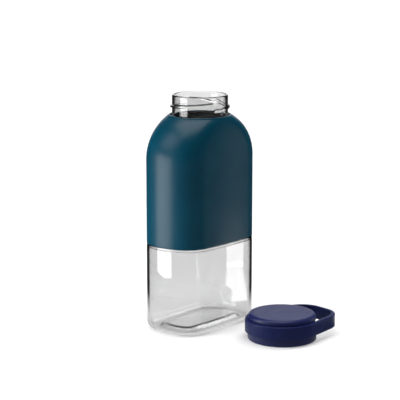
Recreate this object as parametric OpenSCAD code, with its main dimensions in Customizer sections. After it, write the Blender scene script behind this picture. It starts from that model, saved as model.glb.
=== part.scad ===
// Flat-sided water bottle: clear one-piece body, soft sleeve over its upper part, and a screw cap
// with a carry loop that lies on the table beside it. Millimetres, +Z up, origin at the middle of
// the bottle's base, with the long axis of the body's outline along X.

/* [Body] */
// Length of the body's outline, along X
body_l = 94; // [88:1:100]
// Thickness of the body's outline, along Y
body_w = 58.5; // [56:0.5:62]
// Height of the bottle, from its foot to its lip
bottle_h = 189.7; // [180:0.1:200]
// Wall thickness of the clear body
wall = 1.8; // [1.4:0.1:2.2]
// Radius of the body's four upright corners
corner_r = 20; // [17:0.5:22]
// Radius of the edge round the foot
foot_r = 7; // [5:0.5:8]
// Rise of the push-up panel under the foot
push_up = 3; // [1:0.1:4]

/* [Shoulder] */
// Height of the collar, where the sleeve ends round the neck
collar_z = 173; // [168:0.5:176]
// Vertical half-axis of the shoulder's elliptical arc
shoulder_h = 39.3; // [34:0.1:44]
// Radius of the sleeve's top edge
collar_r = 25.9; // [25.5:0.1:27]

/* [Neck] */
// Outer radius of the neck
neck_r = 22.5; // [22:0.1:22.8]
// Radius of the mouth's bore
bore_r = 20.5; // [19.5:0.1:21]
// Height that the thread stands out from the neck
thread_h = 1.5; // [0.9:0.1:1.5]
// Rise of the thread in one full turn, with two starts
thread_lead = 11; // [9:0.5:12]

/* [Sleeve] */
// Height of the sleeve's lower edge
sleeve_z = 71.2; // [60:0.2:90]
// Thickness of the sleeve
sleeve_t = 1.3; // [1:0.1:1.6]
// Gap between the sleeve and the body
sleeve_gap = 0.15; // [0.1:0.05:0.3]

/* [Cap] */
// Outer radius of the cap's lip and of its cover
cap_r = 27.4; // [27.2:0.1:28]
// Height of the whole cap
cap_h = 20.9; // [20.5:0.1:22]
// Place of the cap on the table, along X
cap_x = 9; // [0:1:30]
// Place of the cap on the table, along Y
cap_y = -78.5; // [-95:0.5:-78.5]
// Direction in which the carry loop points, from +X
loop_angle = -8; // [-45:1:45]
// Thickness of the carry loop's strap
loop_t = 3.1; // [2.4:0.1:3.2]
// Width of the carry loop's strap
loop_w = 10.5; // [9:0.1:10.5]

/* [Hidden] */
$fn = 96;
lap = 0.3;                 // depth that one piece of a union reaches into its neighbour

// The outline is four pairs of arcs, each tangent to the next: ends, corners and sides.
end_turn = 20;             // direction of the normal where an end arc meets a corner arc
side_turn = 86.4;          // direction of the normal where a corner arc meets a side arc
half_l = body_l / 2 - corner_r;
half_w = body_w / 2 - corner_r;
arc_det = (1 - cos(end_turn)) * (1 - sin(side_turn)) - cos(side_turn) * sin(end_turn);
end_d = (half_l * (1 - sin(side_turn)) - half_w * cos(side_turn)) / arc_det;
side_d = (half_w * (1 - cos(end_turn)) - half_l * sin(end_turn)) / arc_det;

// Shoulder: 60 degrees of an elliptical arc, from the upright wall to the collar's circle.
shoulder_arc = 60;
shoulder_z = collar_z - shoulder_h * sin(shoulder_arc);
shoulder_steps = 9;
collar_inset = 0.7;        // share of an inset that the collar's circle moves in

recess = sleeve_t + sleeve_gap;
neck_z = collar_z - 0.7;   // where the neck rises from the shoulder
floor_t = 2;               // thickness of the floor
foot_flat = 2.5;           // width of the flat ring that the bottle stands on
ledge_r = 0.8;             // rounding of the ledge under the sleeve

// Cap, from the table up
lip_h = 5.9;               // height of the lip under the carry loop
cover_z = 16.8;            // underside of the cover
groove_r = 26.4;           // radius of the wall that the carry loop turns on
loop_play = 0.1;           // radial clearance of the carry loop
loop_tip_r = 18.5;         // outer radius of the loop's two far corners
loop_tip = [28.8, 5];      // centre of the upper one of them
keeper_t = 1.5;            // thickness of the low wall that closes the loop's ring behind the cap
keeper_h = 3;              // its height
cover_r = cap_r - 0.2;     // radius of the cover, just inside the lip below
liner_r = 25.3;            // outer radius of the threaded liner
liner_fit = 0.15;          // radial clearance between liner and shell
seal_t = 1.8;              // thickness of the gasket
web_z = 17.4;              // underside of the liner's web
web_t = 1.5;
liner_bore = neck_r + thread_h + 0.2;
gasket_hole = 19;          // radius of the hole in the gasket

function lerp(a, b, w) = a * (1 - w) + b * w;

// Normal directions of the points of a quarter outline, from +X towards +Y
quarter = [
    for (i = [0:2]) end_turn * i / 3,
    for (i = [0:6]) lerp(end_turn, side_turn, i / 7),
    for (i = [0:2]) lerp(side_turn, 90, i / 3)
];
turns = [for (q = [0:3]) for (i = [0:len(quarter) - 1])
    q % 2 == 0 ? q * 90 + quarter[i] : q * 90 + 90 - (i == 0 ? 90 : quarter[len(quarter) - i])];
ring_n = len(turns);

// Centre of the arc that has the normal direction a, in the quarter where x and y are positive
function arc_centre(a) =
    a < end_turn ? [half_l - end_d, 0]
    : a > side_turn ? [0, half_w - side_d]
    : [half_l - end_d + end_d * cos(end_turn), end_d * sin(end_turn)];
function arc_extra(a) = a < end_turn ? end_d : a > side_turn ? side_d : 0;
function folded(a) = a <= 90 ? a : a <= 180 ? 180 - a : a <= 270 ? a - 180 : 360 - a;
function sign_x(a) = a < 90 || a > 270 ? 1 : -1;
function sign_y(a) = a < 180 ? 1 : -1;

// A point of the outline, taken in by inset along its normal
function outline_point(a, inset) =
    let (f = folded(a), c = arc_centre(f), r = corner_r + arc_extra(f) - inset)
    [sign_x(a) * (c.x + r * cos(f)), sign_y(a) * (c.y + r * sin(f))];

function outline_ring(inset, z) = [for (a = turns) [each outline_point(a, inset), z]];
function circle_ring(r, z) = [for (a = turns) [r * cos(a), r * sin(a), z]];

// A ring of the shoulder at the angle u of its arc: outline turning into the collar's circle
function shoulder_ring(inset, u) =
    let (w = (1 - cos(u)) / (1 - cos(shoulder_arc)), r = collar_r - collar_inset * inset,
         z = shoulder_z + (shoulder_h - inset) * sin(u))
    [for (a = turns) let (p = outline_point(a, inset))
        [lerp(p.x, r * cos(a), w), lerp(p.y, r * sin(a), w), z]];
function shoulder_rings(inset) =
    [for (i = [0:shoulder_steps]) shoulder_ring(inset, shoulder_arc * i / shoulder_steps)];

// A closed solid through rings of equal length, capped flat at both ends
module loft(rings) {
    n = len(rings[0]);
    last = len(rings) - 1;
    side = [for (k = [0:last - 1]) for (i = [0:n - 1]) let (j = (i + 1) % n)
        each [[k * n + i, (k + 1) * n + i, (k + 1) * n + j], [k * n + i, (k + 1) * n + j, k * n + j]]];
    polyhedron(
        points = [for (r = rings) each r],
        faces = concat(side, [[for (i = [0:n - 1]) i]], [[for (i = [n - 1:-1:0]) last * n + i]]),
        convexity = 8
    );
}

// The same, with the last ring joined back to the first, so the solid has a hole through it
module loft_loop(rings) {
    n = len(rings[0]);
    count = len(rings);
    polyhedron(
        points = [for (r = rings) each r],
        faces = [for (k = [0:count - 1]) for (i = [0:n - 1])
            let (j = (i + 1) % n, m = (k + 1) % count)
            each [[k * n + i, m * n + i, m * n + j], [k * n + i, m * n + j, k * n + j]]],
        convexity = 8
    );
}

// A two-start thread as two ridges on a cylinder of radius r, standing out by h (in if h is negative)
module thread(r, h, z, turn) {
    steps = 20;
    sweep = 180;           // angle that each ridge covers
    foot = 1.5;            // half height of the ridge at its foot
    crest = 0.6;           // half height at its crest
    sink = h > 0 ? -lap : lap;
    for (start = [0:1]) {
        rings = [for (i = [0:steps])
            let (f = i / steps, a = turn + start * 180 + sweep * f, up = z + thread_lead * sweep * f / 360,
                 grow = min(1, 6 * f, 6 * (1 - f)), out = r + h * max(grow, 0.05))
            [[r + sink, up - foot], [out, up - crest], [out, up + crest], [r + sink, up + foot]]];
        points = [for (i = [0:steps]) let (a = turn + start * 180 + sweep * i / steps)
            for (p = rings[i]) [p.x * cos(a), p.x * sin(a), p.y]];
        side = [for (k = [0:steps - 1]) for (i = [0:3]) let (j = (i + 1) % 4)
            each [[4 * k + i, 4 * k + 4 + i, 4 * k + 4 + j], [4 * k + i, 4 * k + 4 + j, 4 * k + j]]];
        faces = concat(side, [[0, 1, 2, 3]], [[4 * steps + 3, 4 * steps + 2, 4 * steps + 1, 4 * steps]]);
        polyhedron(points = points, faces = [for (f = faces) h < 0 ? f : [for (i = [len(f) - 1:-1:0]) f[i]]]);
    }
}

// Profile of the foot as [inset, z], from the middle of the base out to the upright wall
foot_profile = [
    [foot_r + foot_flat + 4, push_up],
    [foot_r + foot_flat + 2.5, push_up * 0.9],
    [foot_r + foot_flat + 0.8, push_up * 0.15],
    [foot_r + foot_flat, 0],
    for (i = [0:5]) [foot_r * (1 - sin(18 * i)), foot_r * (1 - cos(18 * i))]
];
inner_foot_r = foot_r - wall;
floor_profile = [
    [foot_r + foot_flat + 4.5, push_up + floor_t],
    [foot_r + foot_flat + 2.5, push_up * 0.85 + floor_t],
    [foot_r + foot_flat + 1, push_up * 0.3 + floor_t],
    [foot_r + foot_flat - 0.5, floor_t],
    for (i = [0:5]) [wall + inner_foot_r * (1 - sin(18 * i)), floor_t + inner_foot_r * (1 - cos(18 * i))]
];

module bottle_skin() {
    outer = concat(
        [for (p = foot_profile) outline_ring(p[0], p[1])],
        [for (i = [0:2]) outline_ring(ledge_r * (1 - cos(45 * i)), sleeve_z - 0.2 - ledge_r * (1 - sin(45 * i)))],
        [outline_ring(recess, sleeve_z - 0.2)],
        shoulder_rings(recess),
        [circle_ring(neck_r + 0.8, neck_z)]
    );
    inner = concat(
        [for (p = floor_profile) outline_ring(p[0], p[1])],
        [outline_ring(wall, sleeve_z - 3), outline_ring(wall + recess, sleeve_z + 0.5)],
        shoulder_rings(wall + recess),
        [for (r = [bore_r + 1, bore_r - 1]) circle_ring(r, neck_z - wall)]
    );
    // The outer skin up, in across the neck's foot, and down the inner skin; the floors are its caps
    difference() {
        loft(concat(outer, [circle_ring(bore_r - 1, neck_z)], [for (i = [len(inner) - 1:-1:0]) inner[i]]));
        translate([0, 0, neck_z - wall - 1]) cylinder(r = bore_r, h = wall + 2);
    }
}

module neck() {
    lip = 0.6;             // rounding of the lip
    rotate_extrude() {
        translate([bore_r + lip, neck_z]) square([neck_r - bore_r - 2 * lip, bottle_h - neck_z]);
        translate([bore_r, neck_z]) square([neck_r - bore_r, bottle_h - neck_z - lip]);
        for (r = [bore_r + lip, neck_r - lip])
            translate([r, bottle_h - lip]) circle(lip);
    }
}

module bottle() {
    color("aliceblue", 0.35) {
        bottle_skin();
        neck();
        thread(neck_r, thread_h, neck_z + 6, 71);
    }
}

module sleeve() {
    opening_r = neck_r + thread_h + 0.2;
    edge = 0.5;            // rounding of the sleeve's edges
    outer = concat(
        [for (i = [0:2]) outline_ring(edge * (1 - sin(45 * i)), sleeve_z + edge * (1 - cos(45 * i)))],
        shoulder_rings(0),
        [circle_ring(collar_r - edge * 0.6, collar_z + edge)]
    );
    inner = concat(
        [circle_ring(opening_r, collar_z + edge), circle_ring(opening_r, collar_z - 0.5)],
        [for (i = [shoulder_steps:-1:0]) shoulder_ring(sleeve_t, shoulder_arc * i / shoulder_steps)],
        [outline_ring(sleeve_t, sleeve_z)]
    );
    color("#0b4a5c") loft_loop(concat(outer, inner));
}

module on_table() translate([cap_x, cap_y, 0]) children();

module cap_shell() {
    foot = 1.2;            // rounding of the lip's lower edge
    bore = liner_r + liner_fit;
    color("#1f2550") on_table() rotate_extrude() {
        translate([bore, 0]) square([cap_r - foot - bore, lip_h]);
        intersection() {
            translate([cap_r - foot, foot]) circle(foot);
            translate([bore, 0]) square([cap_r - bore, lip_h]);
        }
        translate([cap_r - foot, foot]) square([foot, lip_h - foot]);
        translate([bore, 0]) square([groove_r - bore, cover_z]);
    }
}

module cap_cover() {
    edge = 3;              // rounding of the cover's upper edge
    color("#3f4466") on_table() difference() {
        rotate_extrude() {
            translate([0, cover_z]) square([cover_r - edge, cap_h - cover_z]);
            translate([0, cover_z]) square([cover_r, cap_h - edge - cover_z]);
            intersection() {
                translate([cover_r - edge, cap_h - edge]) circle(edge);
                translate([0, cover_z]) square([cover_r, cap_h - cover_z]);
            }
        }
        translate([0, 0, cover_z - 1]) cylinder(r = liner_r + liner_fit, h = web_z + web_t - cover_z + 1);
    }
}

module thread_liner() {
    color("#232a58") on_table() {
        difference() {
            translate([0, 0, 0.8]) cylinder(r = liner_r, h = web_z + web_t - 0.8);
            translate([0, 0, -1]) cylinder(r = liner_bore, h = web_z + 1);
        }
        thread(liner_bore, -(thread_h - 0.2), 2.2, 20);
    }
}

module gasket() {
    color("whitesmoke") on_table() translate([0, 0, web_z - seal_t]) difference() {
        cylinder(r = liner_bore - 0.05, h = seal_t);
        translate([0, 0, -1]) cylinder(r = gasket_hole, h = seal_t + 2);
    }
}

// Plan of the loop: a ring on the cap and two far corners, joined along their common tangents
module loop_plan(ring, tip) {
    shy = 0.02;            // the straight edges lie this far inside the true tangents
    lean = atan2(loop_tip.y, loop_tip.x) + acos((ring - tip) / norm(loop_tip));
    edge = [cos(lean), sin(lean)];
    upper = [(ring - shy) * edge, loop_tip + (tip - shy) * edge, loop_tip + [tip - shy, 0]];
    circle(ring);
    for (s = [-1, 1])
        translate([loop_tip.x, s * loop_tip.y]) circle(tip);
    polygon([each upper, for (i = [2:-1:0]) [upper[i].x, -upper[i].y]]);
}

module carry_loop() {
    low = (lip_h + cover_z - loop_w) / 2;
    ring = groove_r + loop_play;
    color("#1a2048") on_table() rotate([0, 0, loop_angle]) translate([0, 0, low]) {
        difference() {
            linear_extrude(loop_w) loop_plan(ring + loop_t, loop_tip_r);
            translate([0, 0, -1]) linear_extrude(loop_w + 2) loop_plan(ring, loop_tip_r - loop_t);
        }
        difference() {
            cylinder(r = ring + keeper_t, h = keeper_h);
            translate([0, 0, -1]) cylinder(r = ring, h = keeper_h + 2);
        }
    }
}

bottle();
sleeve();
cap_shell();
cap_cover();
thread_liner();
gasket();
carry_loop();
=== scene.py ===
"""Open flat-sided drinking bottle with a soft sleeve, its screw cap and carry loop on the table beside it."""

import math

import bpy
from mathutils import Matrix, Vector


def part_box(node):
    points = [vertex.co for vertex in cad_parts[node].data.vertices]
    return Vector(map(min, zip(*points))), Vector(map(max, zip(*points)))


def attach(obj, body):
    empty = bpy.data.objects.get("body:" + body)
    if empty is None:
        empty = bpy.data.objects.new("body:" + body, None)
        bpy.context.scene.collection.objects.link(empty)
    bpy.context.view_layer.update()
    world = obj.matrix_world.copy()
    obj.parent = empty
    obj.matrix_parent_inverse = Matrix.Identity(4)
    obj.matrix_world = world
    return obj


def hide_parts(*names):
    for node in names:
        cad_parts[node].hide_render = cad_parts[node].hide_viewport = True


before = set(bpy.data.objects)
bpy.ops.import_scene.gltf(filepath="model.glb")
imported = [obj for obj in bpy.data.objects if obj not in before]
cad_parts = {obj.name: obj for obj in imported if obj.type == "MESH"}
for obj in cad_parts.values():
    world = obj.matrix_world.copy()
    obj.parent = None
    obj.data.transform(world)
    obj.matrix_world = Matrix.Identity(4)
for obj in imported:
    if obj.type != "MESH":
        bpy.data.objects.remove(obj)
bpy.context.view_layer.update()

MM = 0.001


def size_mm(node):
    """Lowest and highest corner of a CAD node in millimetres."""
    low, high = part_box(node)
    return low / MM, high / MM


# ---------------------------------------------------------------- sizes, in millimetres
BODY_LOW, BODY_HIGH = size_mm("bottle")
SLEEVE_LOW, SLEEVE_HIGH = size_mm("sleeve")
SHELL_LOW, SHELL_HIGH = size_mm("cap_shell")
COVER_LOW, COVER_HIGH = size_mm("cap_cover")
LINER_LOW, LINER_HIGH = size_mm("thread_liner")
SEAL_LOW, SEAL_HIGH = size_mm("gasket")
LOOP_LOW, LOOP_HIGH = size_mm("carry_loop")

HALF_L = (BODY_HIGH.x - BODY_LOW.x) / 2
HALF_W = (BODY_HIGH.y - BODY_LOW.y) / 2
BOTTLE_H = BODY_HIGH.z
CORNER_R = 20.0
END_TURN, SIDE_TURN = 20.0, 86.4    # normal directions where end, corner and side arcs meet
WALL = 1.8
FOOT_R = 7.0
FOOT_FLAT = 2.5
PUSH_UP = 3.0
FLOOR_T = 2.0

SLEEVE_T = 1.3
SLEEVE_GAP = 0.15
RECESS = SLEEVE_T + SLEEVE_GAP      # depth that the body steps in under the sleeve
SLEEVE_Z = SLEEVE_LOW.z
COLLAR_RIM = 0.5                    # height of the sleeve's rim above the end of the shoulder
COLLAR_Z = SLEEVE_HIGH.z - COLLAR_RIM
SHOULDER_H = 39.3
SHOULDER_ARC = 60.0
SHOULDER_Z = COLLAR_Z - SHOULDER_H * math.sin(math.radians(SHOULDER_ARC))
COLLAR_R = 25.9
COLLAR_INSET = 0.7                  # share of an inset that the collar's circle moves in

NECK_R = 22.5
BORE_R = 20.5
NECK_Z = COLLAR_Z - 0.7
THREAD_H = 1.5
THREAD_LEAD = 11.0
THREAD_TURN = 71.0                  # direction in which the first thread starts
THREAD_Z = 6                        # height of its start above the foot of the neck
THREAD_SWEEP = 180.0                # angle that each of the two ridges covers
THREAD_FIT = 0.2                    # clearance outside the thread

CAP_X = (SHELL_LOW.x + SHELL_HIGH.x) / 2
CAP_Y = (SHELL_LOW.y + SHELL_HIGH.y) / 2
LIP_R = (SHELL_HIGH.x - SHELL_LOW.x) / 2
COVER_R = (COVER_HIGH.x - COVER_LOW.x) / 2
LINER_R = (LINER_HIGH.x - LINER_LOW.x) / 2
SEAL_R = (SEAL_HIGH.x - SEAL_LOW.x) / 2
LIP_H = 5.9
GROOVE_R = 26.4
LOOP_R = GROOVE_R + 0.1
LOOP_T = 3.1
LOOP_TIP = (28.8, 5.0)
LOOP_TIP_R = 18.5
LOOP_ANGLE = -8.0
KEEPER_T, KEEPER_H = 1.5, 3.0
KEEPER_REACH = 72                   # angle that the keeper wall covers to either side
LINER_FIT = 0.15
LINER_WEB = 1.5
LINER_THREAD_Z, LINER_THREAD_TURN = 2.2, 20
SEAL_HOLE = 19.0
ROUND_SEGMENTS = 160                # sides of a turned piece


# ---------------------------------------------------------------- curves
def lerp(a, b, w):
    return a * (1 - w) + b * w


def smooth(w):
    """0 to 1 with a soft start and end."""
    return w * w * (3 - 2 * w)


def cosd(a):
    return math.cos(math.radians(a))


def sind(a):
    return math.sin(math.radians(a))


def steps(a, b, n):
    """n values from a towards b, without b."""
    return [lerp(a, b, i / n) for i in range(n)]


def arc(cx, cz, r, start, end, n):
    """n + 1 points of a circle in a profile, as (radius or inset, height)."""
    return [(cx + r * cosd(lerp(start, end, i / n)), cz + r * sind(lerp(start, end, i / n)))
            for i in range(n + 1)]


QUARTER = steps(0, END_TURN, 8) + steps(END_TURN, SIDE_TURN, 28) + steps(SIDE_TURN, 90, 7)
TURNS = []
for quarter in range(4):
    if quarter % 2 == 0:
        TURNS += [quarter * 90 + a for a in QUARTER]
    else:
        TURNS += [quarter * 90] + [quarter * 90 + 90 - a for a in reversed(QUARTER[1:])]

# The body's outline is four pairs of arcs, each tangent to the next, as in the CAD model.
AX, AY = HALF_L - CORNER_R, HALF_W - CORNER_R
DET = (1 - cosd(END_TURN)) * (1 - sind(SIDE_TURN)) - cosd(SIDE_TURN) * sind(END_TURN)
END_D = (AX * (1 - sind(SIDE_TURN)) - AY * cosd(SIDE_TURN)) / DET
SIDE_D = (AY * (1 - cosd(END_TURN)) - AX * sind(END_TURN)) / DET


def outline_point(turn, inset):
    """The outline's point whose normal has the direction turn, taken in by inset."""
    folded = turn % 180
    folded = folded if folded <= 90 else 180 - folded
    if folded < END_TURN:
        cx, cy, extra = AX - END_D, 0.0, END_D
    elif folded > SIDE_TURN:
        cx, cy, extra = 0.0, AY - SIDE_D, SIDE_D
    else:
        cx, cy, extra = AX - END_D + END_D * cosd(END_TURN), END_D * sind(END_TURN), 0.0
    r = CORNER_R + extra - inset
    sx = 1 if turn < 90 or turn > 270 else -1
    sy = 1 if turn < 180 else -1
    return sx * (cx + r * cosd(folded)), sy * (cy + r * sind(folded))


def outline_ring(inset, z):
    return [(*outline_point(a, inset), z) for a in TURNS]


def scaled_ring(inset, share, z):
    return [(x * share, y * share, z) for x, y in (outline_point(a, inset) for a in TURNS)]


def circle_ring(r, z):
    return [(r * cosd(a), r * sind(a), z) for a in TURNS]


def shoulder_ring(inset, u):
    """A ring of the shoulder at the angle u of its arc."""
    w = (1 - cosd(u)) / (1 - cosd(SHOULDER_ARC))
    r = COLLAR_R - COLLAR_INSET * inset
    z = SHOULDER_Z + (SHOULDER_H - inset) * sind(u)
    ring = []
    for a in TURNS:
        x, y = outline_point(a, inset)
        ring.append((lerp(x, r * cosd(a), w), lerp(y, r * sind(a), w), z))
    return ring


def shoulder_rings(inset, n=30):
    return [shoulder_ring(inset, SHOULDER_ARC * i / n) for i in range(n + 1)]


# ---------------------------------------------------------------- mesh building
def new_piece(name, rings, closed_loop=False, caps=(False, False), offset=(0, 0)):
    """A mesh through rings of equal length. closed_loop joins the last ring to the first."""
    n = len(rings[0])
    verts = [((x + offset[0]) * MM, (y + offset[1]) * MM, z * MM) for ring in rings for x, y, z in ring]
    faces = []
    count = len(rings)
    for k in range(count if closed_loop else count - 1):
        m = (k + 1) % count
        for i in range(n):
            j = (i + 1) % n
            faces.append((k * n + i, k * n + j, m * n + j, m * n + i))
    if caps[0]:
        verts.append(centre_of(rings[0], offset))
        c = len(verts) - 1
        faces += [(c, (i + 1) % n, i) for i in range(n)]
    if caps[1]:
        verts.append(centre_of(rings[-1], offset))
        c = len(verts) - 1
        base = (count - 1) * n
        faces += [(c, base + i, base + (i + 1) % n) for i in range(n)]
    mesh = bpy.data.meshes.new(name)
    mesh.from_pydata(verts, [], faces)
    mesh.validate()
    for p in mesh.polygons:
        p.use_smooth = True
    mesh.update()
    piece = bpy.data.objects.new(name, mesh)
    bpy.context.scene.collection.objects.link(piece)
    return piece


def centre_of(ring, offset):
    n = len(ring)
    return tuple(((sum(p[k] for p in ring) / n) + (offset[k] if k < 2 else 0)) * MM for k in range(3))


def round_ring(r, z):
    """A circle of ROUND_SEGMENTS points."""
    turns = [360 * i / ROUND_SEGMENTS for i in range(ROUND_SEGMENTS)]
    return [(r * cosd(a), r * sind(a), z) for a in turns]


def lathe(name, profile, closed=True):
    """A profile of (radius, height) points turned round the cap's axis."""
    rings = [round_ring(r, z) for r, z in profile]
    return new_piece(name, rings, closed_loop=closed, caps=(not closed, not closed), offset=(CAP_X, CAP_Y))


def rounded(points, radii, n=5):
    """A closed profile of (radius, height) corners, each rounded by its own radius."""
    out = []
    count = len(points)
    for i, (p, r) in enumerate(zip(points, radii)):
        p0, p1, p2 = Vector(points[i - 1]), Vector(p), Vector(points[(i + 1) % count])
        a, b = (p0 - p1).normalized(), (p2 - p1).normalized()
        if r <= 0:
            out.append(tuple(p1))
            continue
        half = a.angle(b) / 2
        back = min(r / math.tan(half), (p0 - p1).length * 0.49, (p2 - p1).length * 0.49)
        start, end = p1 + a * back, p1 + b * back
        true_r = back * math.tan(half)
        centre = p1 + (a + b).normalized() * (true_r / math.sin(half))
        u, v = start - centre, end - centre
        turn = math.atan2(u.x * v.y - u.y * v.x, u.dot(v))
        for k in range(n + 1):
            t = turn * k / n
            out.append((centre.x + u.x * math.cos(t) - u.y * math.sin(t),
                        centre.y + u.x * math.sin(t) + u.y * math.cos(t)))
    return out


# ---------------------------------------------------------------- bottle
def thread_lift(turn, z, r_step, z_start, first, half_foot=1.45, half_crest=0.55):
    """Height of the two-start thread at a point of the neck."""
    for start in (0, 180):
        past = (turn - first - start) % 360
        if past > THREAD_SWEEP:
            continue
        f = past / THREAD_SWEEP
        centre = z_start + THREAD_LEAD * THREAD_SWEEP * f / 360
        fade = min(1.0, 14 * f, 14 * (1 - f))
        fade = smooth(fade)
        away = abs(z - centre)
        if away >= half_foot:
            continue
        w = min(1.0, (half_foot - away) / (half_foot - half_crest))
        return r_step * fade * smooth(w)
    return 0.0


def neck_rings():
    """Outer wall of the neck from its foot to the lip, with the thread standing on it."""
    lip = 0.85
    fillet = 1.4
    rings = [circle_ring(r, z) for r, z in arc(NECK_R + fillet, NECK_Z + fillet, fillet, -100, -180, 6)]
    z = NECK_Z + fillet
    top = BOTTLE_H - lip
    count = 84
    for i in range(1, count + 1):
        h = lerp(z, top, i / count)
        radii = [NECK_R + thread_lift(a, h, THREAD_H, NECK_Z + THREAD_Z, THREAD_TURN) for a in TURNS]
        rings.append([(r * cosd(a), r * sind(a), h) for r, a in zip(radii, TURNS)])
    rings += [circle_ring(r, h) for r, h in arc(NECK_R - lip, top, lip, 15, 90, 5)]
    rings += [circle_ring(r, h) for r, h in arc(BORE_R + lip, top, lip, 90, 180, 6)]
    return rings


def punt(edge, width, low, rise):
    """Rings of the push-up in the base, from its middle out to the flat ring round it."""
    crown = 0.5
    rings = [scaled_ring(edge + width, k, low + rise + crown * (1 - k * k))
             for k in (0.08, 0.3, 0.55, 0.78, 0.93)]
    return rings + [outline_ring(edge + width * (1 - w), low + rise * (1 - smooth(w)))
                    for w in (0, 0.12, 0.25, 0.37, 0.5, 0.62, 0.75, 0.87, 1)]


def make_bottle():
    """The body as one skin: the outer wall up to the lip, then the inner wall back down to the floor."""
    panel = punt(FOOT_R + FOOT_FLAT, 6.0, 0.0, PUSH_UP)
    foot = [outline_ring(FOOT_R * (1 - sind(a)), FOOT_R * (1 - cosd(a))) for a in steps(0, 90, 14)]
    wall = [outline_ring(0, z) for z in (FOOT_R, 20, 40, 60, SLEEVE_Z - 2.5)]
    parting = SLEEVE_Z - 1.95
    groove = ((0, -0.42), (0.12, -0.34), (0.45, -0.1), (0.45, 0.1), (0.12, 0.34), (0, 0.42))
    wall += [outline_ring(depth, parting + up) for depth, up in groove]
    ledge_r = 1.1
    ledge_z = SLEEVE_Z - 0.25
    root_r = 0.3
    ledge = [outline_ring(ledge_r * (1 - cosd(a)), ledge_z - ledge_r + ledge_r * sind(a))
             for a in steps(0, 90, 5)]
    ledge += [outline_ring(ledge_r + 0.1, ledge_z)]
    ledge += [outline_ring(RECESS - root_r * (1 - sind(a)), ledge_z + root_r * (1 - cosd(a)))
              for a in (0, 30, 60, 90)]
    upper = [outline_ring(RECESS, z) for z in (SLEEVE_Z + 2, 90, 110, 130)]
    outer = panel + foot + wall + ledge + upper + shoulder_rings(RECESS) + neck_rings()

    inner_r = FOOT_R - WALL
    floor_panel = punt(FOOT_R + FOOT_FLAT - 0.8, 6.8, FLOOR_T, PUSH_UP)
    floor = [outline_ring(WALL + inner_r * (1 - sind(a)), FLOOR_T + inner_r * (1 - cosd(a)))
             for a in steps(0, 90, 12)]
    inner_wall = [outline_ring(WALL, z) for z in (FLOOR_T + inner_r, 20, 40, 60, SLEEVE_Z - 2.2)]
    jog = [outline_ring(WALL + RECESS * smooth(w), lerp(SLEEVE_Z - 1.8, SLEEVE_Z + 4.0, w))
           for w in (0, 0.15, 0.3, 0.45, 0.6, 0.75, 0.9, 1)]
    inner_upper = [outline_ring(WALL + RECESS, z) for z in (90, 110, 130)]
    throat_r = 2.2
    throat = [circle_ring(r, z) for r, z in arc(BORE_R + throat_r, NECK_Z + 1.2, throat_r, -120, -180, 6)]
    neck_wall = [circle_ring(BORE_R, z) for z in (NECK_Z + 4, NECK_Z + 9, BOTTLE_H - 4)]
    inner = (floor_panel + floor + inner_wall + jog + inner_upper
             + shoulder_rings(WALL + RECESS)[:-1] + throat + neck_wall)
    return new_piece("clear_body", outer + inner[::-1], caps=(True, True))


# ---------------------------------------------------------------- sleeve
def make_sleeve():
    edge, collar_edge, inner_edge, hem_edge = 0.45, 0.75, 0.4, 0.3
    opening = NECK_R + THREAD_H + THREAD_FIT
    top = SLEEVE_HIGH.z
    hem = [outline_ring(edge * (1 - sind(a)), SLEEVE_Z + edge * (1 - cosd(a)))
           for a in (0, 22.5, 45, 67.5, 90)]
    wall = [outline_ring(0, z) for z in (SLEEVE_Z + 2, 80, 95, 110, 125)]
    rim_r = COLLAR_R + 0.1
    rim = [circle_ring(rim_r - collar_edge + collar_edge * cosd(a), top - collar_edge + collar_edge * sind(a))
           for a in (25, 40, 55, 70, 90)]
    inside = [circle_ring(opening + inner_edge - inner_edge * sind(a),
                          top - inner_edge + inner_edge * cosd(a)) for a in (0, 30, 60, 90)]
    inside += [circle_ring(opening, COLLAR_Z - COLLAR_RIM)]
    under = shoulder_rings(SLEEVE_T)[::-1]
    back = [outline_ring(SLEEVE_T, z) for z in (125, 100, 80, SLEEVE_Z + 1)]
    back += [outline_ring(SLEEVE_T - hem_edge * (1 - cosd(a)), SLEEVE_Z + hem_edge * (1 - sind(a)))
             for a in (30, 60, 90)]
    skin = hem + wall + shoulder_rings(0) + rim + inside + under + back
    return new_piece("soft_sleeve", skin, closed_loop=True)


# ---------------------------------------------------------------- cap
def ring_profile(name, corners, radii):
    """A ring-shaped piece of the cap from the corners of its section, as (radius, height)."""
    return lathe(name, rounded(corners, radii, 6))


def make_shell():
    bore = LINER_R + LINER_FIT
    return ring_profile("cap_base", [(bore, 0), (LIP_R, 0), (LIP_R, LIP_H), (GROOVE_R, LIP_H),
                                     (GROOVE_R, SHELL_HIGH.z), (bore, SHELL_HIGH.z)],
                        [0.4, 1.2, 0.5, 0.3, 0.1, 0.1])


def flat_rings(r, outwards):
    """Radii of rings that keep a flat disc flat, from its middle or back to it."""
    radii = [r * k for k in (0.05, 0.3, 0.6, 0.85, 0.97)]
    return radii if outwards else radii[::-1]


def make_cover():
    z0, z1 = COVER_LOW.z, COVER_HIGH.z
    web_top = LINER_HIGH.z
    bore = LINER_R + LINER_FIT
    edge, under_edge = 3.0, 0.35
    profile = [(r, web_top) for r in flat_rings(bore, True)]
    profile += [(bore, web_top), (bore, z0 + 0.1), (bore + 0.1, z0), (COVER_R - 0.5, z0)]
    profile += arc(COVER_R - under_edge, z0 + under_edge, under_edge, -80, 0, 4)
    profile += arc(COVER_R - edge, z1 - edge, edge, 0, 90, 14)
    profile += [(r, z1) for r in flat_rings(COVER_R - edge, False)]
    return lathe("cap_top", profile, closed=False)


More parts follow.
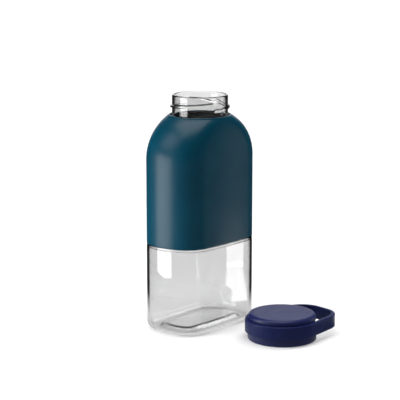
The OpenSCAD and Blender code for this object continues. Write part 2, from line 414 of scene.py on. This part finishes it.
def make_liner():
    """Threaded cup: its bore carries two inward ridges, so it is a grid with the thread pressed into it."""
    bore = NECK_R + THREAD_H + THREAD_FIT
    z0, z1 = LINER_LOW.z, LINER_HIGH.z
    web_z = z1 - LINER_WEB
    turns = [360 * i / ROUND_SEGMENTS for i in range(ROUND_SEGMENTS)]
    rings = [round_ring(r, z1) for r in flat_rings(LINER_R, True)]
    for r, z in [(LINER_R - 0.3, z1), (LINER_R - 0.09, z1 - 0.09), (LINER_R, z1 - 0.3), (LINER_R, z0 + 0.3),
                 (LINER_R - 0.09, z0 + 0.09), (LINER_R - 0.3, z0), (bore + 0.35, z0), (bore + 0.1, z0 + 0.1)]:
        rings.append(round_ring(r, z))
    count = 56
    for i in range(count + 1):
        z = lerp(z0 + 0.35, web_z - 2.0, i / count)
        radii = [bore - thread_lift(a, z, THREAD_H - THREAD_FIT, LINER_THREAD_Z, LINER_THREAD_TURN)
                 for a in turns]
        rings.append([(r * cosd(a), r * sind(a), z) for r, a in zip(radii, turns)])
    rings += [round_ring(r, web_z) for r in [bore] + flat_rings(bore, False)]
    return new_piece("cap_thread", rings, caps=(True, True), offset=(CAP_X, CAP_Y))


def make_seal():
    z0, z1 = SEAL_LOW.z, SEAL_HIGH.z
    corners = [(SEAL_HOLE, z0), (SEAL_R, z0), (SEAL_R, z1), (SEAL_HOLE, z1)]
    return ring_profile("sealing_ring", corners, [0.5, 0.5, 0.1, 0.1])


# ---------------------------------------------------------------- carry loop
def straight(a, b, n):
    """Points between a and b, without either."""
    return [(lerp(a[0], b[0], i / n), lerp(a[1], b[1], i / n)) for i in range(1, n)]


def loop_path(extra, z, n_ring=90, n_tip=26, n_side=10):
    """The loop's outline, grown by extra: round the cap, out along a tangent, round two far corners."""
    tip_x, tip_y = LOOP_TIP
    ring, tip = LOOP_R + extra, LOOP_TIP_R - LOOP_T + extra
    lean = math.degrees(math.atan2(tip_y, tip_x)) + math.degrees(
        math.acos((LOOP_R + LOOP_T - LOOP_TIP_R) / math.hypot(tip_x, tip_y)))
    around = [lerp(lean, 360 - lean, i / n_ring) for i in range(n_ring + 1)]
    points = [(ring * cosd(a), ring * sind(a)) for a in around]
    down = [lerp(-lean, 0, i / n_tip) for i in range(n_tip + 1)]
    up = [lerp(0, lean, i / n_tip) for i in range(n_tip + 1)]
    lower = [(tip_x + tip * cosd(a), -tip_y + tip * sind(a)) for a in down]
    upper = [(tip_x + tip * cosd(a), tip_y + tip * sind(a)) for a in up]
    points += straight(points[-1], lower[0], n_side) + lower
    points += [(tip_x + tip, lerp(-tip_y, tip_y, i / 5)) for i in range(1, 5)] + upper
    points += straight(points[-1], points[0], n_side)
    c, s = cosd(LOOP_ANGLE), sind(LOOP_ANGLE)
    return [(x * c - y * s, x * s + y * c, z) for x, y in points]


def make_loop():
    z0, z1 = LOOP_LOW.z, LOOP_HIGH.z
    section = rounded([(LOOP_T, z0), (LOOP_T, z1), (0, z1), (0, z0)], [0.55, 1.0, 0.45, 0.45], 6)
    rings = [loop_path(extra, z) for extra, z in section]
    strap = new_piece("loop_strap", rings, closed_loop=True, offset=(CAP_X, CAP_Y))
    keeper_section = rounded([(LOOP_R + KEEPER_T, z0), (LOOP_R + KEEPER_T, z0 + KEEPER_H),
                              (LOOP_R, z0 + KEEPER_H), (LOOP_R, z0)], [0.4] * 4, 3)
    columns = []
    count = 60
    for i in range(count + 1):
        a = LOOP_ANGLE + lerp(-KEEPER_REACH, KEEPER_REACH, i / count)
        columns.append([(r * cosd(a), r * sind(a), z) for r, z in keeper_section])
    keeper = new_piece("loop_keeper", columns, caps=(True, True), offset=(CAP_X, CAP_Y))
    return strap, keeper


# ---------------------------------------------------------------- materials
def node_material(name):
    mat = bpy.data.materials.new(name)
    mat.use_nodes = True
    tree = mat.node_tree
    shader = tree.nodes["Principled BSDF"]
    return mat, tree, shader


def add(tree, kind, **values):
    node = tree.nodes.new(kind)
    for key, value in values.items():
        if key in node.inputs.keys():
            node.inputs[key].default_value = value
        else:
            setattr(node, key, value)
    return node


def moulded(name, base, dark, light, roughness, uneven, grain, grain_depth, specular=0.5):
    """A moulded plastic or silicone: slow colour drift, fine grain and uneven gloss."""
    mat, tree, shader = node_material(name)
    link = tree.links.new
    where = add(tree, "ShaderNodeTexCoord")
    slow = add(tree, "ShaderNodeTexNoise", Scale=38.0, Detail=5.0, Roughness=0.55)
    fine = add(tree, "ShaderNodeTexNoise", Scale=grain, Detail=3.0, Roughness=0.6)
    smudge = add(tree, "ShaderNodeTexNoise", Scale=90.0, Detail=6.0, Roughness=0.7, Distortion=0.6)
    for node in (slow, fine, smudge):
        link(where.outputs["Object"], node.inputs["Vector"])
    ramp = add(tree, "ShaderNodeValToRGB")
    ramp.color_ramp.elements[0].position, ramp.color_ramp.elements[0].color = 0.3, (*dark, 1)
    ramp.color_ramp.elements[1].position, ramp.color_ramp.elements[1].color = 0.7, (*light, 1)
    middle = ramp.color_ramp.elements.new(0.5)
    middle.color = (*base, 1)
    link(slow.outputs["Fac"], ramp.inputs["Fac"])
    link(ramp.outputs["Color"], shader.inputs["Base Color"])
    gloss = add(tree, "ShaderNodeMapRange")
    gloss.inputs["From Min"].default_value, gloss.inputs["From Max"].default_value = 0.3, 0.7
    gloss.inputs["To Min"].default_value = roughness - uneven
    gloss.inputs["To Max"].default_value = roughness + uneven
    link(smudge.outputs["Fac"], gloss.inputs["Value"])
    link(gloss.outputs["Result"], shader.inputs["Roughness"])
    bump = add(tree, "ShaderNodeBump", Strength=1.0, Distance=grain_depth)
    link(fine.outputs["Fac"], bump.inputs["Height"])
    link(bump.outputs["Normal"], shader.inputs["Normal"])
    shader.inputs["Specular IOR Level"].default_value = specular
    return mat


def clear_plastic():
    """Slightly grey clear plastic with faint flow lines and a few hazy patches."""
    mat, tree, shader = node_material("clear_plastic")
    link = tree.links.new
    shader.inputs["Base Color"].default_value = (0.79, 0.79, 0.79, 1)
    shader.inputs["Transmission Weight"].default_value = 1.0
    shader.inputs["IOR"].default_value = 1.5
    where = add(tree, "ShaderNodeTexCoord")
    haze = add(tree, "ShaderNodeTexNoise", Scale=60.0, Detail=3.0, Roughness=0.6)
    link(where.outputs["Object"], haze.inputs["Vector"])
    gloss = add(tree, "ShaderNodeMapRange")
    gloss.inputs["From Min"].default_value, gloss.inputs["From Max"].default_value = 0.55, 0.8
    gloss.inputs["To Min"].default_value, gloss.inputs["To Max"].default_value = 0.0, 0.03
    link(haze.outputs["Fac"], gloss.inputs["Value"])
    link(gloss.outputs["Result"], shader.inputs["Roughness"])
    flow = add(tree, "ShaderNodeTexNoise", Scale=14.0, Detail=1.0)
    link(where.outputs["Object"], flow.inputs["Vector"])
    bump = add(tree, "ShaderNodeBump", Strength=0.08, Distance=0.0006)
    link(flow.outputs["Fac"], bump.inputs["Height"])
    link(bump.outputs["Normal"], shader.inputs["Normal"])
    body = add(tree, "ShaderNodeVolumeAbsorption", Color=(0.5, 0.5, 0.5, 1), Density=12.0)
    link(body.outputs["Volume"], tree.nodes["Material Output"].inputs["Volume"])
    # shadow and diffuse rays go straight through the plastic, so light reaches the table and the insides
    path = tree.nodes.new("ShaderNodeLightPath")
    lets_by = add(tree, "ShaderNodeMath", operation="MAXIMUM")
    link(path.outputs["Is Shadow Ray"], lets_by.inputs[0])
    link(path.outputs["Is Diffuse Ray"], lets_by.inputs[1])
    bare = add(tree, "ShaderNodeBsdfTransparent", Color=(0.66, 0.66, 0.66, 1))
    mix = tree.nodes.new("ShaderNodeMixShader")
    link(lets_by.outputs["Value"], mix.inputs["Fac"])
    link(shader.outputs["BSDF"], mix.inputs[1])
    link(bare.outputs["BSDF"], mix.inputs[2])
    link(mix.outputs["Shader"], tree.nodes["Material Output"].inputs["Surface"])
    return mat


# ---------------------------------------------------------------- assembly
def place(piece, body, node, material):
    piece.data.materials.append(material)
    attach(piece, body)
    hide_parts(node)


teal = moulded("teal_silicone", (0.0, 0.0385, 0.067), (0.0, 0.035, 0.062), (0.0, 0.042, 0.072),
               0.31, 0.03, 2600.0, 0.00001, specular=0.21)
navy = moulded("navy_plastic", (0.004, 0.009, 0.068), (0.003, 0.008, 0.062), (0.005, 0.010, 0.074),
               0.42, 0.04, 3200.0, 0.00001, specular=0.32)
navy_soft = moulded("navy_silicone", (0.004, 0.009, 0.062), (0.003, 0.008, 0.057), (0.005, 0.010, 0.068),
                    0.45, 0.04, 2600.0, 0.00001, specular=0.18)
liner_mat = moulded("liner_plastic", (0.012, 0.018, 0.085), (0.010, 0.016, 0.078), (0.014, 0.020, 0.092),
                    0.35, 0.04, 1500.0, 0.000005)
milky = moulded("milky_silicone", (0.62, 0.64, 0.63), (0.58, 0.60, 0.60), (0.66, 0.68, 0.67),
                0.45, 0.05, 1800.0, 0.00001)

place(make_bottle(), "bottle", "bottle", clear_plastic())
place(make_sleeve(), "sleeve", "sleeve", teal)
place(make_shell(), "cap", "cap_shell", navy)
place(make_cover(), "cap", "cap_cover", navy)
place(make_liner(), "cap", "thread_liner", liner_mat)
place(make_seal(), "cap", "gasket", milky)
for part in make_loop():
    place(part, "carry_loop", "carry_loop", navy_soft)


# ---------------------------------------------------------------- floor, light and camera
VIEW_TURN = math.radians(49.2)      # turn of the camera about the bottle, from looking along +Y
VIEW_DIP = math.radians(11.4)
VIEW_AWAY = 1.1785
VIEW_UP = 0.3407
LENS = 133.0

FLOOR_GLOW, FAR_GLOW = 0.25, 0.97   # the floor's own light near the bottle and far from it
PAINTED_UNDER_GLOW = 0.6                    # painted pool of light, added to the floor's own light under the bottle
FLOOR_MIRRORED = 0.03               # the floor as reflected rays see it, a painted dim reflection
PAINTED_DISC_REFLECTION = 0.8                # painted reflection: a small bright disc round the bottle that they see
PAINTED_SPILL = 3.0                         # painted reflection: a strip of light on the floor that only they see
SPILL_LEAN, SPILL_SHIFT = -0.208, 0.0146
WORLD_FILL = 0.15                   # the world as diffuse rays see it
WORLD_MIRRORED, BACKDROP = 0.02, 1.4    # the world and its bright backdrop as reflected rays see them


def across(right, away, up):
    """A point given as seen by the camera: to its right, away from it, and up, from the bottle's base."""
    c, s = math.cos(VIEW_TURN), math.sin(VIEW_TURN)
    return Vector((right * c + away * s, -right * s + away * c, up))


def make_camera():
    data = bpy.data.cameras.new("camera")
    data.lens, data.sensor_width = LENS, 36
    cam = bpy.data.objects.new("camera", data)
    bpy.context.scene.collection.objects.link(cam)
    cam.location = across(0, -VIEW_AWAY, VIEW_UP)
    cam.rotation_euler = (math.pi / 2 - VIEW_DIP, 0, -VIEW_TURN)
    bpy.context.scene.camera = cam


def mirrored_where(tree, seen, mirrored):
    """seen for rays that come straight or through clear plastic, mirrored for rays that were reflected."""
    path = tree.nodes.new("ShaderNodeLightPath")
    mix = tree.nodes.new("ShaderNodeMixShader")
    tree.links.new(path.outputs["Glossy Depth"], mix.inputs["Fac"])
    tree.links.new(seen, mix.inputs[1])
    tree.links.new(mirrored, mix.inputs[2])
    return mix.outputs["Shader"]


def spread(tree, value, low, high, start, end):
    """A number that goes from start to end while value goes from low to high."""
    node = add(tree, "ShaderNodeMapRange")
    for key, number in zip(("From Min", "From Max", "To Min", "To Max"), (low, high, start, end)):
        node.inputs[key].default_value = number
    tree.links.new(value, node.inputs["Value"])
    return node.outputs["Result"]


def along(tree, coordinate, heading):
    """How far a point or direction goes along heading."""
    node = add(tree, "ShaderNodeVectorMath", operation="DOT_PRODUCT")
    node.inputs[1].default_value = heading
    tree.links.new(coordinate, node.inputs[0])
    return node.outputs["Value"]


def make_floor():
    """A pale table, white to the eye. Reflected rays see painted reflections instead: a small bright disc
    round the bottle and a strip of light, in a dim room.
    """
    bpy.ops.mesh.primitive_plane_add(size=12)
    floor = bpy.context.object
    floor.name = "floor"
    mat, tree, shader = node_material("pale_floor")
    shader.inputs["Base Color"].default_value = (0.70, 0.70, 0.70, 1)
    shader.inputs["Roughness"].default_value = 0.8
    shader.inputs["Specular IOR Level"].default_value = 0.1
    shader.inputs["Emission Color"].default_value = (1, 1, 1, 1)
    where = add(tree, "ShaderNodeTexCoord")
    away = add(tree, "ShaderNodeVectorMath", operation="LENGTH")
    tree.links.new(where.outputs["Object"], away.inputs[0])
    glow = add(tree, "ShaderNodeMath", operation="ADD")
    tree.links.new(spread(tree, away.outputs["Value"], 0.6, 2.2, FLOOR_GLOW, FAR_GLOW), glow.inputs[0])
    # painted pool of light under the bottle: the base is longer along X, so what lies under it is measured on
    # a squeezed plane
    squeeze = add(tree, "ShaderNodeVectorMath", operation="MULTIPLY")
    squeeze.inputs[1].default_value = (HALF_W / HALF_L, 1, 1)
    tree.links.new(where.outputs["Object"], squeeze.inputs[0])
    under = add(tree, "ShaderNodeVectorMath", operation="LENGTH")
    tree.links.new(squeeze.outputs["Vector"], under.inputs[0])
    tree.links.new(spread(tree, under.outputs["Value"], 0.016, 0.03, PAINTED_UNDER_GLOW, 0.0), glow.inputs[1])
    tree.links.new(glow.outputs["Value"], shader.inputs["Emission Strength"])
    # painted reflection that reflected rays see in place of the floor
    dim = add(tree, "ShaderNodeEmission")
    # painted reflection: a bright disc round the bottle, fading to the dim floor
    table = spread(tree, away.outputs["Value"], 0.07, 0.13, PAINTED_DISC_REFLECTION, FLOOR_MIRRORED)
    # painted reflection: a strip of light on the floor at the right, for reflected rays only
    to_right = along(tree, where.outputs["Object"], across(1, 0, 0))
    near_end = spread(tree, to_right, 0.098, 0.106, 0.0, PAINTED_SPILL)
    far_end = spread(tree, to_right, 0.235, 0.245, 1.0, 0.0)
    off = add(tree, "ShaderNodeMath", operation="ADD")
    tree.links.new(along(tree, where.outputs["Object"], across(SPILL_LEAN, 1, 0)), off.inputs[0])
    off.inputs[1].default_value = SPILL_SHIFT
    width = add(tree, "ShaderNodeMath", operation="ABSOLUTE")
    tree.links.new(off.outputs["Value"], width.inputs[0])
    lengthwise = add(tree, "ShaderNodeMath", operation="MULTIPLY")
    tree.links.new(near_end, lengthwise.inputs[0])
    tree.links.new(far_end, lengthwise.inputs[1])
    painted_strip = add(tree, "ShaderNodeMath", operation="MULTIPLY_ADD")
    tree.links.new(lengthwise.outputs["Value"], painted_strip.inputs[0])
    tree.links.new(spread(tree, width.outputs["Value"], 0.016, 0.020, 1.0, 0.0), painted_strip.inputs[1])
    tree.links.new(table, painted_strip.inputs[2])
    tree.links.new(painted_strip.outputs["Value"], dim.inputs["Strength"])
    tree.links.new(mirrored_where(tree, shader.outputs["BSDF"], dim.outputs["Emission"]),
                   tree.nodes["Material Output"].inputs["Surface"])
    floor.data.materials.append(mat)


def make_light(name, place_at, aim, size, radiance, mirrored=True):
    """A rectangular soft box of an even radiance. Reflections leave it out unless mirrored."""
    data = bpy.data.lights.new(name, "AREA")
    data.shape = "RECTANGLE"
    data.size, data.size_y = size
    data.energy = radiance * math.pi * size[0] * size[1]
    lamp = bpy.data.objects.new(name, data)
    bpy.context.scene.collection.objects.link(lamp)
    lamp.location = place_at
    lamp.rotation_euler = (Vector(aim) - Vector(place_at)).to_track_quat("-Z", "Y").to_euler()
    lamp.visible_glossy = mirrored


def make_world():
    """White to the eye, an even fill for diffuse rays, a bright backdrop in a dim room for reflected ones."""
    world = bpy.data.worlds.new("studio")
    bpy.context.scene.world = world
    world.use_nodes = True
    tree = world.node_tree
    seen = tree.nodes["Background"]
    seen.inputs["Color"].default_value = (1, 1, 1, 1)
    seen.inputs["Strength"].default_value = 1.0
    fill = add(tree, "ShaderNodeBackground", Color=(1, 1, 1, 1), Strength=WORLD_FILL)
    path = tree.nodes.new("ShaderNodeLightPath")
    matt = tree.nodes.new("ShaderNodeMixShader")
    tree.links.new(path.outputs["Is Diffuse Ray"], matt.inputs["Fac"])
    tree.links.new(seen.outputs["Background"], matt.inputs[1])
    tree.links.new(fill.outputs["Background"], matt.inputs[2])
    where = add(tree, "ShaderNodeTexCoord")
    dim = add(tree, "ShaderNodeBackground", Color=(1, 1, 1, 1))
    backwards = along(tree, where.outputs["Generated"], across(0, 1, 0))
    tree.links.new(spread(tree, backwards, 0.9, 0.975, WORLD_MIRRORED, BACKDROP), dim.inputs["Strength"])
    tree.links.new(mirrored_where(tree, matt.outputs["Shader"], dim.outputs["Background"]),
                   tree.nodes["World Output"].inputs["Surface"])


make_floor()
make_world()
make_camera()
make_light("left_card", across(-0.209, -0.076, 0.085), across(-0.03, 0, 0.085), (0.137, 0.17), 6.2)
make_light("right_strip", across(0.224, 0.032, 0.022), across(0.02, 0, 0.022), (0.037, 0.044), 3.0)
make_light("right_flag", across(0.228, 0.034, 0.11), across(0.02, 0, 0.11), (0.037, 0.13), 1.1)
make_light("key_box", across(-0.95, -0.25, 0.85), across(0, 0, 0.1), (0.7, 0.7), 2.8)
make_light("right_box", across(0.6, 0.12, 0.25), across(0, 0, 0.1), (0.4, 0.5), 0.2, mirrored=False)
make_light("top_box", across(-0.1, 0.0, 1.4), across(0, 0, 0), (1.2, 1.2), 3.7)
make_light("back_box", across(0.8, 0.7, 1.1), across(0, 0, 0), (0.9, 0.9), 5.0, mirrored=False)
bpy.context.scene.view_settings.view_transform = "Standard"
